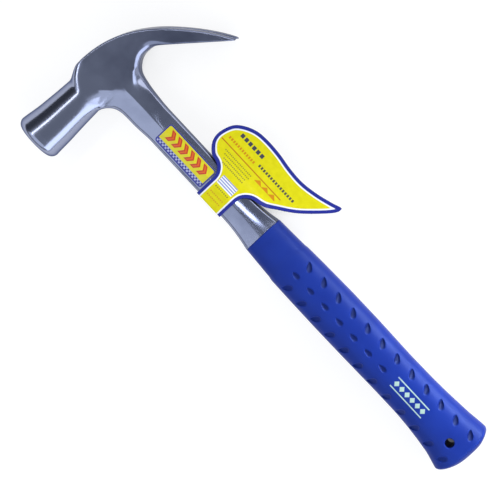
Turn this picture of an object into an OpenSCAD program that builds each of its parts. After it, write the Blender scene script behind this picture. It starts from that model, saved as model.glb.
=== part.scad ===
// Claw hammer with a one-piece steel head, neck and tang, a moulded grip over the tang,
// a label on the neck and a folded card tag that slides along the neck.
// The hammer lies on its side: X runs from the crown of the head to the butt of the grip,
// +Y points to the claw, and +Z is up, across the thickness of the hammer.

/* [Overall] */
// Crown of the head to the butt of the grip
overall_length = 339; // [320:1:360]
// Handle axis to the striking face
face_reach = 64.2; // [58:0.2:72]
// Handle axis to the claw tips
claw_reach = 70.4; // [64:0.2:76]

/* [Poll] */
// Crown of the head to the poll's axis
poll_axis_x = 17.2; // [16:0.1:19]
// Diameter of the bell behind the striking face
bell_d = 30.4; // [27:0.2:34]
// Diameter of the poll at its waist
waist_d = 25; // [22:0.2:27]
// Width of the rounded corner round the striking face
face_corner_w = 5.2; // [2:0.1:8]
// Depth of that corner along the poll
face_corner_h = 4.6; // [2:0.1:8]
// Handle axis to the waist of the poll
waist_y = 22; // [20:0.5:28]

/* [Cheek and claw] */
// Thickness of the head across its flat cheeks
cheek_t = 24; // [20:0.5:28]
// Distance of the crown's highest point from the handle axis, on the poll's side
crown_y = 10.5; // [8:0.5:12]
// How far the claw tips bend back towards the handle
claw_sweep = 56; // [48:0.5:60]
// Power of the claw's outer curve
claw_power = 2.4; // [2:0.1:2.8]
// Width across both prongs
claw_w = 28.6; // [25:0.2:30]
// Thickness of the claw at its tips
claw_tip_t = 0.9; // [0.6:0.1:2]
// Crown of the head to the deepest point under the claw
crotch_x = 24; // [22:0.5:27]
// Handle axis to that deepest point
throat_y = 21.5; // [19:0.5:24]
// Height above the handle axis where the claw's underside straightens
crotch_y = 31; // [28:0.5:33]
// Width of the nail slot between the tips
slot_w = 11; // [9:0.5:13]
// Radius at the root of the nail slot
slot_root_r = 1.2; // [0.8:0.1:2]
// Height of the nail slot, measured down from the tips
slot_run = 33; // [26:0.5:36]

/* [Neck] */
// Width of the neck in the hammer's plane
neck_w = 21.6; // [19:0.2:23]
// Thickness of the neck at its middle ridge
neck_ridge_t = 15; // [13:0.2:18]
// Thickness of the neck at its edges
neck_edge_t = 8.4; // [7:0.2:11]
// Rounding of the neck's edges
neck_round = 2.4; // [1:0.1:3]
// Crown of the head to the end of the fillet under the claw, where the plain neck starts
neck_start_x = 60; // [56:0.5:64]
// Crown of the head to the end of the fillet under the poll
poll_fillet_x = 58; // [52:0.5:62]
// Crown of the head to the point where the neck's ridge meets the cheek
cheek_point_x = 34; // [31:0.5:38]
// Length over which the neck widens to the grip
collar_run = 25; // [18:0.5:30]

/* [Grip] */
// Crown of the head to the top of the grip
grip_x = 154; // [150:0.5:160]
// Width of the grip at its top
grip_top_w = 27.4; // [25:0.2:30]
// Thickness of the grip at its top
grip_top_t = 21.6; // [20:0.2:25]
// Width of the grip at the swell
grip_swell_w = 31.6; // [29:0.2:34]
// Thickness of the grip at the swell
grip_swell_t = 25.4; // [23:0.2:28]
// Width of the grip at its waist
grip_waist_w = 30.2; // [28:0.2:33]
// Thickness of the grip at its waist
grip_waist_t = 24.6; // [22:0.2:27]
// Width of the grip at the butt
butt_w = 39; // [35:0.5:43]
// Thickness of the grip at the butt
butt_t = 27.6; // [25:0.2:30]
// Top of the grip to its swell
swell_run = 64; // [54:0.5:74]
// Top of the grip to its waist
waist_run = 120; // [110:0.5:130]
// Length of the rounded butt end
butt_round = 8; // [5:0.5:12]
// How far the grip stands proud of the neck at its top
grip_lip = 0.6; // [0.3:0.1:1.2]

/* [Grip dimples] */
// Top of the grip to the first dimples
dimple_from_top = 34; // [28:0.5:40]
// Last dimples to the start of the rounded butt end
dimple_to_round = 2.2; // [1.5:0.1:6]
// Dimples in each outer row, on each side of the grip
outer_dimples = 12; // [9:1:12]
// Dimples in each middle row
middle_dimples = 7; // [5:1:8]
// Depth of a dimple
dimple_depth = 1.2; // [0.6:0.1:1.6]

/* [Lanyard hole] */
// Radius of the lanyard hole
lanyard_r = 3; // [2:0.1:3.5]
// Distance of the lanyard hole from the butt
lanyard_from_butt = 14.3; // [12:0.1:18]
// Offset of the lanyard hole towards the poll's side
lanyard_y = 2; // [0:0.1:4]
// Grip material round the lanyard hole, inside the tang
lanyard_wall = 1.6; // [1:0.1:2]

/* [Tang] */
// Width of the tang inside the grip
tang_w = 20; // [18:0.2:22]
// Thickness of the tang's flanges
tang_t = 10; // [8:0.2:12]
// Thickness of the tang's web
tang_web_t = 5; // [4:0.2:6]
// Width of each flange beside the web
tang_flange_w = 4; // [3:0.2:5]
// End of the tang to the butt of the grip
tang_from_butt = 7; // [6:0.5:9]
// Bond line between tang and grip
bond_gap = 0.1; // [0.05:0.01:0.2]

/* [Label] */
// Length of the neck label
label_l = 41; // [34:0.5:44]
// Width of the neck label
label_w = 14.6; // [12:0.2:16]
// Thickness of the neck label
label_t = 0.15; // [0.1:0.01:0.3]
// Crown of the head to the label's upper end
label_x = 66; // [62:0.5:70]
// Offset of the label towards the poll's side
label_y = 1.2; // [0:0.1:2]
// Corner radius of the label
label_r = 2; // [1:0.1:4]

/* [Card tag] */
// Thickness of the card
card_t = 0.4; // [0.25:0.05:0.6]
// Glue line between the two leaves
glue_t = 0.2; // [0.1:0.02:0.3]
// Play of the folded card round the neck
tag_play = 0.7; // [0.5:0.05:1]
// Crown of the head to the upper edge of the band round the neck
band_x = 107.7; // [104:0.1:112]
// Width of the band round the neck
band_w = 20.4; // [16:0.2:24]
// Crown of the head to the card's round end
card_x = 90; // [86:0.2:95]
// Handle axis to the card's lower edge
card_y = 10.4; // [10.4:0.2:12]
// Length of the card beside the neck
card_l = 85.2; // [76:0.2:92]
// Height of the card beside the neck, up to its pointed end
card_h = 35.8; // [30:0.2:38]
// Fillet between the band and the card
card_fillet = 8; // [3:0.5:9]
// Length over which the leaves close behind the neck
close_run = 6; // [4:0.5:8]
// Margin of the card that has no glue
glue_inset = 4; // [2:0.5:6]

/* [Hidden] */

head_sides = 32;
corner_steps = 3;
cut_margin = 2;
curve_steps = 6;
cheek_square = 5;
shoulder_gap = 2;
neck_flare_power = 4;
crotch_softness = 3;
head_top_y = crown_y + shoulder_gap;
tip_round = 3;
tip_round_run = 6;
edge_rise = 0.4;
butt_closing = 0.94;
grip_square = 2.5;
// Angles of the grip's long edges round its section, and of the dimple rows among them.
side_step = 9;
middle_step = 4.5;
outer_row_angles = [63, 126, 234, 297];
middle_row_angles = [90, 270];
dimple_stations = 4;
match = 0.1;

waist_r = waist_d / 2;
bell_r = bell_d / 2;
cheek_half = cheek_t / 2;
claw_half = claw_w / 2;
neck_half = neck_w / 2;
lanyard_x = overall_length - lanyard_from_butt;
tang_end_x = overall_length - tang_from_butt;
butt_x = overall_length - butt_round;
dimple_x = grip_x + dimple_from_top;
dimple_pitch = (butt_x - dimple_to_round - dimple_x) / (outer_dimples - 1);
collar_w = grip_top_w - 2 * grip_lip;
collar_ridge_t = grip_top_t - 2 * grip_lip;
collar_edge_t = collar_ridge_t - neck_ridge_t + neck_edge_t;
rest_z = max(bell_r, claw_half);

STEEL = "silver";
BLUE = "royalblue";
YELLOW = "yellow";
GLUE = "ivory";

// Moves a piece from the hammer's own lines to the part's origin, the middle of its underside.
module placed() {
    translate([-overall_length / 2, (face_reach - claw_reach) / 2, rest_z]) children();
}

function lerp(a, b, t) = a + (b - a) * t;
function clamp01(t) = min(1, max(0, t));
function smooth(t) = let (u = clamp01(t)) u * u * (3 - 2 * u);
// Coordinate on a superellipse: 2 is a circle, and higher powers are squarer.
function rounded(t, power) = sign(t) * pow(abs(t), 2 / power);

// Closed solid through a list of rings that all have the same number of points.
module loft(rings) {
    sides = len(rings[0]);
    last = len(rings) - 1;
    points = [for (ring = rings) each ring];
    walls = [
        for (i = [0 : last - 1], j = [0 : sides - 1])
            let (k = (j + 1) % sides, a = i * sides + j, b = i * sides + k)
                each [[a, a + sides, b + sides], [a, b + sides, b]]
    ];
    first_cap = [for (j = [0 : sides - 1]) j];
    last_cap = [for (j = [sides - 1 : -1 : 0]) last * sides + j];
    polyhedron(points, concat(walls, [first_cap, last_cap]), convexity = 8);
}

// Poll, cheek and claw, as a stack of sections square to the head's length.

// Radius of the poll, from the bell's corner at the face to the waist.
function poll_radius(y) =
    let (
        down = y + face_reach,
        corner = clamp01(1 - down / face_corner_h),
        round_off = face_corner_w * (1 - sqrt(1 - corner * corner)),
        along = clamp01((down - face_corner_h) / (face_reach - waist_y - face_corner_h))
    )
    lerp(bell_r, waist_r, (along + sin(90 * along)) / 2) - round_off;

// Crown side of the head.
function outer_x(y) = y >= -crown_y
    ? claw_sweep * pow((y + crown_y) / (claw_reach + crown_y), claw_power)
    : (poll_axis_x - poll_radius(y)) * (1 - smooth((y + waist_y) / (waist_y - head_top_y)));

// Handle side of the head: the poll, the root of the neck, then the claw's underside.
function underside(y) =
    let (t = y - crotch_y) (t + sqrt(t * t + crotch_softness * crotch_softness)) / 2;
function inner_x(y) =
    lerp(poll_axis_x + poll_radius(y), crotch_x, smooth((y + waist_y) / (waist_y + head_top_y)))
    + (claw_sweep + claw_tip_t - crotch_x) * underside(y) / underside(claw_reach);

// Half of the head's thickness.
function tip_corner(y) =
    let (t = clamp01((y - claw_reach + tip_round_run) / tip_round_run))
    tip_round * (1 - sqrt(1 - t * t));
function head_half(y) =
    y < -waist_y ? poll_radius(y)
    : lerp(waist_r, cheek_half, smooth((y + waist_y) / (waist_y - head_top_y)))
        + (claw_half - cheek_half) * smooth(y / (claw_reach - tip_round_run))
        - tip_corner(y);

function head_ring(y) =
    let (
        outer = outer_x(y),
        inner = inner_x(y),
        half = head_half(y),
        power = lerp(2, cheek_square, smooth((y + waist_y) / (waist_y - head_top_y)))
    )
    [
        for (i = [0 : head_sides - 1])
            let (a = -360 * i / head_sides)
                [
                    (outer + inner) / 2 + (inner - outer) / 2 * rounded(cos(a), power),
                    y,
                    half * rounded(sin(a), power)
                ]
    ];

module head_bar() {
    heights = concat(
        [for (a = [0 : 18 : 72]) -face_reach + face_corner_h * (1 - cos(a))],
        [for (t = [0 : 0.2 : 0.8]) lerp(-face_reach + face_corner_h, -waist_y, t)],
        [for (t = [0 : 0.2 : 0.8]) lerp(-waist_y, -crown_y, t)],
        [for (t = [0 : 0.1 : 0.9]) lerp(-crown_y, crotch_y, t)],
        [for (t = [0 : 0.125 : 0.875]) lerp(crotch_y, claw_reach - tip_round_run, t)],
        [for (a = [0 : 22.5 : 90]) claw_reach - tip_round_run * (1 - sin(a))]
    );
    loft([for (y = heights) head_ring(y)]);
}

// Wedge that parts the two prongs, square to the claw between the slot's root and the tips.
module nail_slot() {
    root_y = claw_reach - slot_run;
    root = [(outer_x(root_y) + inner_x(root_y)) / 2, root_y];
    tip = [claw_sweep + claw_tip_t / 2, claw_reach];
    run = norm(tip - root);
    lean = atan2(tip.y - root.y, tip.x - root.x);
    translate([tip.x, tip.y, 0]) rotate([0, 0, lean]) rotate([90, 0, 0])
        linear_extrude(height = claw_sweep, center = true) {
            polygon([
                [cut_margin, -slot_w / 2], [cut_margin, slot_w / 2],
                [-run, slot_root_r], [-run, -slot_root_r]
            ]);
            translate([-run, 0]) circle(r = slot_root_r, $fn = 32);
        }
}

// Neck, as a stack of six-sided sections with rounded corners, square to the handle.

// Widening of the neck: a fillet into the head, and a collar at the grip.
function head_flare(x, from_x, to_x) = pow(clamp01((from_x - x) / (from_x - to_x)), neck_flare_power);
function collar(x) = pow(clamp01((x - grip_x + collar_run) / collar_run), 2);
function claw_edge(x) =
    neck_half + (throat_y - neck_half) * head_flare(x, neck_start_x, crotch_x)
    + (collar_w / 2 - neck_half) * collar(x);
function poll_edge(x) =
    -neck_half - (waist_y - neck_half) * head_flare(x, poll_fillet_x, poll_axis_x + waist_r)
    - (collar_w / 2 - neck_half) * collar(x);
function to_cheek(x) = pow(max(0, (neck_start_x - x) / (neck_start_x - cheek_point_x)), 2);
function ridge_half(x) = neck_ridge_t / 2 + (cheek_half - neck_ridge_t / 2) * to_cheek(x)
    + (collar_ridge_t - neck_ridge_t) / 2 * collar(x);
function edge_half(x) = neck_edge_t / 2 + (cheek_half - neck_ridge_t / 2) * min(1, to_cheek(x)) * edge_rise
    + (collar_edge_t - neck_edge_t) / 2 * collar(x);

// Convex outline with its corners rounded by arcs.
function turned(v) = [v.y, -v.x] / norm(v);
function round_outline(corners, r) =
    let (n = len(corners))
    [
        for (i = [0 : n - 1])
            let (
                here = corners[i],
                before = turned(here - corners[(i + n - 1) % n]),
                after = turned(corners[(i + 1) % n] - here),
                centre = here - r * (before + after) / (1 + before * after),
                from = atan2(before.y, before.x),
                turn = atan2(cross(before, after), before * after)
            )
            for (s = [0 : corner_steps])
                let (a = from + turn * s / corner_steps) centre + r * [cos(a), sin(a)]
    ];

function neck_section(x) =
    let (
        claw = claw_edge(x),
        poll = poll_edge(x),
        edge = edge_half(x),
        ridge = ridge_half(x)
    )
    round_outline(
        [[claw, -edge], [claw, edge], [0, ridge], [poll, edge], [poll, -edge], [0, -ridge]],
        neck_round
    );

module neck() {
    inside_x = poll_axis_x - cut_margin;
    stations = concat(
        [for (t = [0 : 0.05 : 0.95]) lerp(inside_x, neck_start_x, t)],
        [neck_start_x, grip_x - collar_run],
        [for (t = [0.2 : 0.2 : 1]) grip_x - collar_run * (1 - t)]
    );
    intersection() {
        loft([for (x = stations) [for (p = neck_section(x)) [x, p.x, p.y]]]);
        translate([0, -claw_reach, -cheek_half]) cube([overall_length, 2 * claw_reach, cheek_t]);
    }
}

// Tang: an I-beam under the grip, with a hole that the grip's material fills round the lanyard hole.
// grow enlarges it by the bond line, for the cavity in the grip.
module tang(grow = 0) {
    web_start = grip_x + tang_w / 2;
    web_end = lanyard_x - lanyard_r - lanyard_wall - tang_flange_w;
    groove = (tang_t - tang_web_t) / 2;
    difference() {
        translate([grip_x - cut_margin, -tang_w / 2 - grow, -tang_t / 2 - grow])
            cube([tang_end_x - grip_x + cut_margin + grow, tang_w + 2 * grow, tang_t + 2 * grow]);
        for (side = [-1, 1])
            translate([
                web_start + grow,
                -tang_w / 2 + tang_flange_w + grow,
                side * (tang_web_t / 2 + grow + groove / 2 + cut_margin / 2) - (groove + cut_margin) / 2
            ])
                cube([
                    web_end - web_start - 2 * grow,
                    tang_w - 2 * tang_flange_w - 2 * grow,
                    groove + cut_margin
                ]);
        translate([lanyard_x, -lanyard_y, 0])
            cylinder(r = lanyard_r + lanyard_wall - grow, h = 2 * tang_t, center = true, $fn = 48);
    }
}

module forged_head_neck_tang() {
    color(STEEL) placed() {
        difference() {
            union() {
                head_bar();
                neck();
            }
            nail_slot();
        }
        tang();
    }
}

// Grip: oval sections along the tang, from the collar through the swell and the waist to the butt.
function grip_size(x, top, swell, waist, butt) =
    let (
        swell_x = grip_x + swell_run,
        waist_x = grip_x + waist_run
    )
    x < swell_x ? lerp(top, swell, sin(90 * (x - grip_x) / (swell_x - grip_x)))
    : x < waist_x ? lerp(swell, waist, smooth((x - swell_x) / (waist_x - swell_x)))
    : lerp(waist, butt, pow((min(x, butt_x) - waist_x) / (butt_x - waist_x), 2));
// The butt closes as an ellipse in the hammer's plane, and more squarely across it.
function butt_end(x, power) =
    let (t = butt_closing * clamp01((x - butt_x) / butt_round)) pow(1 - pow(t, power), 1 / power);
function grip_half_y(x) =
    grip_size(x, grip_top_w, grip_swell_w, grip_waist_w, butt_w) / 2 * butt_end(x, 2);
function grip_half_z(x) =
    grip_size(x, grip_top_t, grip_swell_t, grip_waist_t, butt_t) / 2 * butt_end(x, 4);

// The dimples: pits at the crossings of their rows and stations.
function is_one_of(value, list) = max([for (v = list) abs(v - value) < match ? 1 : 0]) > 0;
function pit(x, a) =
    let (
        i = (x - dimple_x) / dimple_pitch,
        on_station = x < butt_x && i > -match && abs(i - round(i)) < match,
        in_middle = round(i) < middle_dimples && is_one_of(a, middle_row_angles)
    )
    on_station && (in_middle || is_one_of(a, outer_row_angles)) ? dimple_depth : 0;
function grip_point(x, a) =
    let (p = [grip_half_y(x) * rounded(cos(a), grip_square), grip_half_z(x) * rounded(sin(a), grip_square)])
    p * (1 - pit(x, a) / norm(p));

module grip_body() {
    zone_x = dimple_x - dimple_pitch / dimple_stations;
    zone_steps = dimple_stations * (outer_dimples - 1) + 1;
    stations = concat(
        [for (t = [0 : 0.25 : 0.75]) lerp(grip_x, zone_x, t)],
        [for (i = [0 : zone_steps]) zone_x + i * dimple_pitch / dimple_stations],
        [for (a = [0 : 15 : 90]) butt_x + butt_round * sin(a)]
    );
    angles = [
        for (half = [0, 180])
            each concat(
                [for (a = [0 : side_step : 90 - side_step]) half + a],
                [for (a = [-middle_step, 0, middle_step]) half + 90 + a],
                [for (a = [90 + side_step : side_step : 180 - side_step]) half + a]
            )
    ];
    loft([
        for (x = stations)
            [for (a = angles) let (p = grip_point(x, a)) [x, p.x, p.y]]
    ]);
}

module grip() {
    color(BLUE) placed() difference() {
        grip_body();
        tang(bond_gap);
        translate([lanyard_x, -lanyard_y, 0])
            cylinder(r = lanyard_r, h = 2 * butt_t, center = true, $fn = 48);
    }
}

// Label: a thin strip bent over the neck's ridge.
function facet_z(y) = neck_ridge_t / 2 - (neck_ridge_t - neck_edge_t) / 2 * abs(y) / neck_half;

module neck_label() {
    low = -label_y - label_w / 2;
    high = -label_y + label_w / 2;
    color(YELLOW) placed() intersection() {
        translate([label_x, 0, 0]) rotate([90, 0, 90]) linear_extrude(height = label_l)
            polygon([
                [low, facet_z(low)], [0, facet_z(0)], [high, facet_z(high)],
                [high, facet_z(high) + label_t], [0, facet_z(0) + label_t], [low, facet_z(low) + label_t]
            ]);
        translate([label_x + label_l / 2, -label_y, 0]) linear_extrude(height = neck_ridge_t)
            offset(r = label_r, $fn = 32)
                square([label_l - 2 * label_r, label_w - 2 * label_r], center = true);
    }
}

// Card tag: one card folded round the neck's poll-side edge.
// Its two leaves are glued together beyond the claw-side edge.
// grow is 0 for the space inside the fold and the card's thickness for its outside.
function leaf(grow) =
    let (
        side = neck_half + tag_play + grow,
        edge = neck_edge_t / 2 + tag_play + grow,
        ridge = neck_ridge_t / 2 + tag_play + grow,
        closed = glue_t / 2 + grow
    )
    [
        [-side, edge], [0, ridge], [neck_half + tag_play, edge],
        [neck_half + tag_play + close_run, closed], [claw_reach, closed]
    ];
function folded(grow) = let (upper = leaf(grow), n = len(upper))
    concat(upper, [for (i = [n - 1 : -1 : 0]) [upper[i].x, -upper[i].y]]);

// Outline beside the neck as shares of its length and height: a round end, a hollowed upper edge,
// a pointed end and a full lower edge.
CARD_SHAPE = [
    [0, 0.37], [0.03, 0.6], [0.09, 0.74], [0.18, 0.84], [0.28, 0.87], [0.41, 0.86], [0.54, 0.82],
    [0.67, 0.81], [0.8, 0.86], [0.92, 0.94], [1, 1], [0.99, 0.87], [0.9, 0.61], [0.8, 0.37],
    [0.69, 0.18], [0.6, 0.05], [0.48, 0], [0.34, 0], [0.17, 0], [0.1, 0.01], [0.05, 0.08], [0.01, 0.2]
];

// Smooth closed curve through a list of points.
function closed_curve(points) =
    let (n = len(points))
    [
        for (i = [0 : n - 1], s = [0 : curve_steps - 1])
            let (
                before = points[(i + n - 1) % n],
                here = points[i],
                next = points[(i + 1) % n],
                after = points[(i + 2) % n],
                t = s / curve_steps,
                slope = (next - before) / 2,
                bend = before - 2.5 * here + 2 * next - after / 2,
                twist = (3 * here - before - 3 * next + after) / 2
            )
            here + t * (slope + t * (bend + t * twist))
    ];

module card_outline() {
    offset(r = -card_fillet, $fn = 48) offset(delta = card_fillet) {
        polygon(closed_curve([for (p = CARD_SHAPE) [card_x + card_l * p.x, card_y + card_h * p.y]]));
        translate([band_x, -neck_w]) square([band_w, neck_w + card_y + card_h / 2]);
    }
}

module tag_card() {
    color(YELLOW) placed() intersection() {
        rotate([90, 0, 90]) linear_extrude(height = overall_length) difference() {
            polygon(folded(card_t));
            polygon(folded(0));
        }
        linear_extrude(height = 2 * neck_ridge_t, center = true) card_outline();
    }
}

// Glue between the leaves, set in from the card's edge.
module tag_glue() {
    color(GLUE) placed() intersection() {
        translate([0, neck_half + tag_play + close_run, -glue_t / 2])
            cube([overall_length, claw_reach, glue_t]);
        linear_extrude(height = 2 * neck_ridge_t, center = true)
            offset(delta = -glue_inset) card_outline();
    }
}

forged_head_neck_tang();
grip();
neck_label();
tag_card();
tag_glue();
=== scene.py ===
import math

import bpy
import numpy as np
import openvdb
from mathutils import Matrix, Vector


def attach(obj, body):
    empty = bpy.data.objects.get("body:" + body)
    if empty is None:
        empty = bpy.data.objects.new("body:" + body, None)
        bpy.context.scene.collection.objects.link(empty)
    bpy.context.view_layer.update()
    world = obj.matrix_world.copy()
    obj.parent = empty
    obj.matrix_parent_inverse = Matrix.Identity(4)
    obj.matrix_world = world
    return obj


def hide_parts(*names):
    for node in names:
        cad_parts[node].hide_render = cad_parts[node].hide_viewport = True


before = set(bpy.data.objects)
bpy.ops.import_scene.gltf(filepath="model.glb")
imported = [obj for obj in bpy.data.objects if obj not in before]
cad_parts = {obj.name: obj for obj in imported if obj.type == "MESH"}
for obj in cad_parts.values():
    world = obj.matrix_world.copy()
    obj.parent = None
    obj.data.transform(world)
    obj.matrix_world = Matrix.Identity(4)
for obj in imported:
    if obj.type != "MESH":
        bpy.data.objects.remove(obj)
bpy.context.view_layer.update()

# The hammer's own lines, in millimetres: x from the crown of the head, y from the handle's
# axis towards the claw, z from the mid-plane. They are moved to the shared frame in metres.
HAMMER_ORIGIN = np.array([169.5, 3.1, -15.2])
MM_PER_M = 1000.0


def to_frame(points):
    return (np.asarray(points, dtype=float) - HAMMER_ORIGIN) / MM_PER_M


# Shapes as fields: negative inside, close to a distance in millimetres near the surface.
SLOPE_STEP = 0.05


def linear(value, start, run):
    """0 up to the start, then an even rise to 1 over the run; a negative run rises backwards."""
    return np.clip((value - start) / run, 0.0, 1.0)


def ease(value, start, run):
    """As linear, with both ends of the rise smoothed."""
    t = linear(value, start, run)
    return t * t * (3.0 - 2.0 * t)


def round_edge(a, b, radius):
    """Both shapes, with the convex edge between them rounded."""
    outside = np.hypot(np.maximum(a + radius, 0.0), np.maximum(b + radius, 0.0))
    return np.minimum(np.maximum(a, b), -radius) + outside


def fillet(a, b, radius):
    """Either shape, with a concave fillet between them."""
    inside = np.hypot(np.maximum(radius - a, 0.0), np.maximum(radius - b, 0.0))
    return np.maximum(np.minimum(a, b), radius) - inside


def rail(line, along, across, side):
    """Signed distance from across = line(along); side is +1 where the solid lies below the line."""
    slope = (line(along + SLOPE_STEP) - line(along - SLOPE_STEP)) / (2 * SLOPE_STEP)
    return side * (across - line(along)) / np.sqrt(1.0 + slope * slope)


# Poll: round, belled towards the striking face, with its middle line leaning to the crown there.
POLL_X = 17.1
POLL_LEAN = 0.5
POLL_LEAN_Y = -46.0
POLL_LEAN_RUN = 14.0
FACE_Y = -64.2
FACE_RADIUS = 312.5
FACE_EDGE = 4.4
BELL_R = 15.4
BELL_Y = FACE_Y + 4.6
BELL_HALF = 15.1
WAIST_R = 12.8
WAIST_Y = -22.0

# Cheeks: where the poll squares up into them, how square its section gets, and the least sizes that
# its formula takes. Past them the claws' shape takes over from the poll's.
SHOULDER_Y = WAIST_Y - 1.5
SHOULDER_RUN = 13.0
ROUND_POWER = 2.0
SQUARE_POWER = 7.0
CHEEK_HALF = 12.0
LEAST_HALF = 0.5
LEAST_SHARE = 1e-4
POLL_TO_CLAW_Y = -15.0
POLL_TO_CLAW_RUN = 9.0

# Claws: the outer line starts at the crown, the inner one at the root.
CROWN_Y = -10.5
CLAW_Y = 70.4
CLAW_SWEEP = 56.0
CLAW_CURVE = 2.4
CLAW_HALF = 14.3
CLAW_WIDEN_RUN = 64.0
CROTCH_X = 23.65
ROOT_Y = 31.0
ROOT_SOFT = 3.0
ROOT_RUN = 34.5
TIP_THICK = 0.55
TIP_LIFT = 1.0
TIP_LIFT_Y = 48.0
TIP_LIFT_RUN = 20.0
TIP_CORNER = 3.5
TIP_CORNER_RUN = 7.0
TIP_ARC_END = 0.995
OUTER_EDGE = 1.2
INNER_EDGE = 0.8
TIP_EDGE = 0.4

# Nail slot: a wedge that runs in from the tips, with its edges opened out on the throat side.
SLOT_START_X = CLAW_SWEEP + 0.45
SLOT_RUN_X = 33.7
SLOT_RUN_Y = 33.0
SLOT_LEAN = math.atan2(SLOT_RUN_Y, SLOT_RUN_X)
SLOT_LENGTH = 48.3
SLOT_TIP_HALF = 5.5
SLOT_NARROWING = 4.3
SLOT_NARROWING_RUN = 49.1
SLOT_TAPER = SLOT_NARROWING / SLOT_NARROWING_RUN
SLOT_TAPER_LEAD = 2.0
SLOT_FLARE = 0.55
SLOT_FLARE_DEPTH = 2.6
SLOT_EDGE = 0.7

# Facet under the cheek, from the neck to the poll: its two ends, its slope and where it ends.
FACET_POLL_X = 20.2
FACET_NECK_X = 33.0
FACET_CURVE = 1.75
FACET_POLL_SLOPE = 0.6
FACET_UP = 0.88
FACET_OUT = 0.48
FACET_END_Y = 2.0
FACET_END_RUN = 6.0
FACET_END_DROP = 12.0
FACET_EDGE = 1.5


def poll_axis(y):
    """x of the poll's middle line."""
    return POLL_X - POLL_LEAN * ease(y, POLL_LEAN_Y, -POLL_LEAN_RUN)


def poll_radius(y):
    along = linear(y, BELL_Y, WAIST_Y - BELL_Y)
    return BELL_R + (WAIST_R - BELL_R) * (along + np.sin(math.pi / 2 * along)) / 2


def shoulder(y):
    """0 on the poll and 1 on the cheek."""
    return ease(y, SHOULDER_Y, SHOULDER_RUN)


def crown_rail(y):
    """x of the head's upper line: the poll, the crown and the outside of the claws."""
    claw = CLAW_SWEEP * (np.maximum(y - CROWN_Y, 0.0) / (CLAW_Y - CROWN_Y)) ** CLAW_CURVE
    claw = claw - TIP_LIFT * ease(y, TIP_LIFT_Y, TIP_LIFT_RUN)
    return np.where(y >= CROWN_Y, claw, (poll_axis(y) - poll_radius(y)) * (1.0 - shoulder(y)))


def past_root(y):
    """0 before the claws' root, then an even rise, with a soft start."""
    t = y - ROOT_Y
    return (t + np.sqrt(t * t + ROOT_SOFT * ROOT_SOFT)) / 2


def throat_rail(y):
    """x of the head's lower line: the poll, the throat and the inside of the claws."""
    poll = poll_axis(y) + poll_radius(y)
    root = poll + (CROTCH_X - poll) * ease(y, WAIST_Y, ROOT_RUN)
    return root + (CLAW_SWEEP + TIP_THICK - CROTCH_X) * past_root(y) / past_root(CLAW_Y)


def cheek_level(y):
    """Half the head's thickness at its flat sides, from the cheek to the claw."""
    return CHEEK_HALF + (CLAW_HALF - CHEEK_HALF) * ease(y, 0.0, CLAW_WIDEN_RUN)


def head_half(y):
    """Half the head's thickness all along it, with the claw tips' corners rounded off."""
    tip = np.clip((y - CLAW_Y + TIP_CORNER_RUN) / TIP_CORNER_RUN, 0.0, TIP_ARC_END)
    corner = TIP_CORNER * (1.0 - np.sqrt(1.0 - tip * tip))
    poll = np.minimum(poll_radius(y), BELL_HALF)
    return poll + (cheek_level(y) - poll) * shoulder(y) - corner


def poll_field(x, y, z):
    """Round poll that squares up into the cheeks."""
    outer, inner = crown_rail(y), throat_rail(y)
    half_x = np.maximum((inner - outer) / 2, LEAST_HALF)
    half_z = np.maximum(head_half(y), LEAST_HALF)
    power = ROUND_POWER + (SQUARE_POWER - ROUND_POWER) * shoulder(y)
    across = np.maximum(np.abs(x - (outer + inner) / 2) / half_x, LEAST_SHARE)
    up = np.maximum(np.abs(z) / half_z, LEAST_SHARE)
    reach = (across**power + up**power) ** (1.0 / power)
    slope = np.hypot((across / reach) ** (power - 1.0) / half_x, (up / reach) ** (power - 1.0) / half_z)
    crowned_face = FACE_Y + ((x - POLL_X) ** 2 + z * z) / (2 * FACE_RADIUS)
    return round_edge((reach - 1.0) / slope, crowned_face - y, FACE_EDGE)


def nail_slot(x, y, z, inner):
    along = (SLOT_START_X - x) * math.cos(SLOT_LEAN) + (CLAW_Y - y) * math.sin(SLOT_LEAN)
    half = SLOT_TIP_HALF - SLOT_TAPER * (along + SLOT_TAPER_LEAD)
    opened = SLOT_FLARE * np.maximum(inner + SLOT_FLARE_DEPTH, 0.0)
    slot = np.abs(z) - np.maximum(half, 0.0) - opened
    return np.maximum(slot, along - SLOT_LENGTH)


def claw_field(x, y, z):
    outer = rail(crown_rail, y, x, -1.0)
    inner = rail(throat_rail, y, x, 1.0)
    side = np.abs(z) - head_half(y)
    bar = round_edge(outer, side, OUTER_EDGE)
    bar = np.maximum(bar, round_edge(inner, side, INNER_EDGE))
    bar = round_edge(bar, y - CLAW_Y, TIP_EDGE)
    return round_edge(bar, -nail_slot(x, y, z, inner), SLOT_EDGE)


def cheek_end(y):
    """x at which the flat cheek turns into the facet."""
    along = linear(y, WAIST_Y, -WAIST_Y)
    on_cheek = FACET_POLL_X + (FACET_NECK_X - FACET_POLL_X) * along**FACET_CURVE
    return on_cheek + FACET_POLL_SLOPE * np.maximum(WAIST_Y - y, 0.0)


def head_field(x, y, z):
    share = ease(y, POLL_TO_CLAW_Y, POLL_TO_CLAW_RUN)
    bar = poll_field(x, y, z) * (1.0 - share) + claw_field(x, y, z) * share
    facet = FACET_UP * (np.abs(z) - CHEEK_HALF) + FACET_OUT * (x - cheek_end(y))
    facet = facet - FACET_END_DROP * ease(y, FACET_END_Y, FACET_END_RUN)
    return round_edge(bar, facet, FACET_EDGE)


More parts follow.
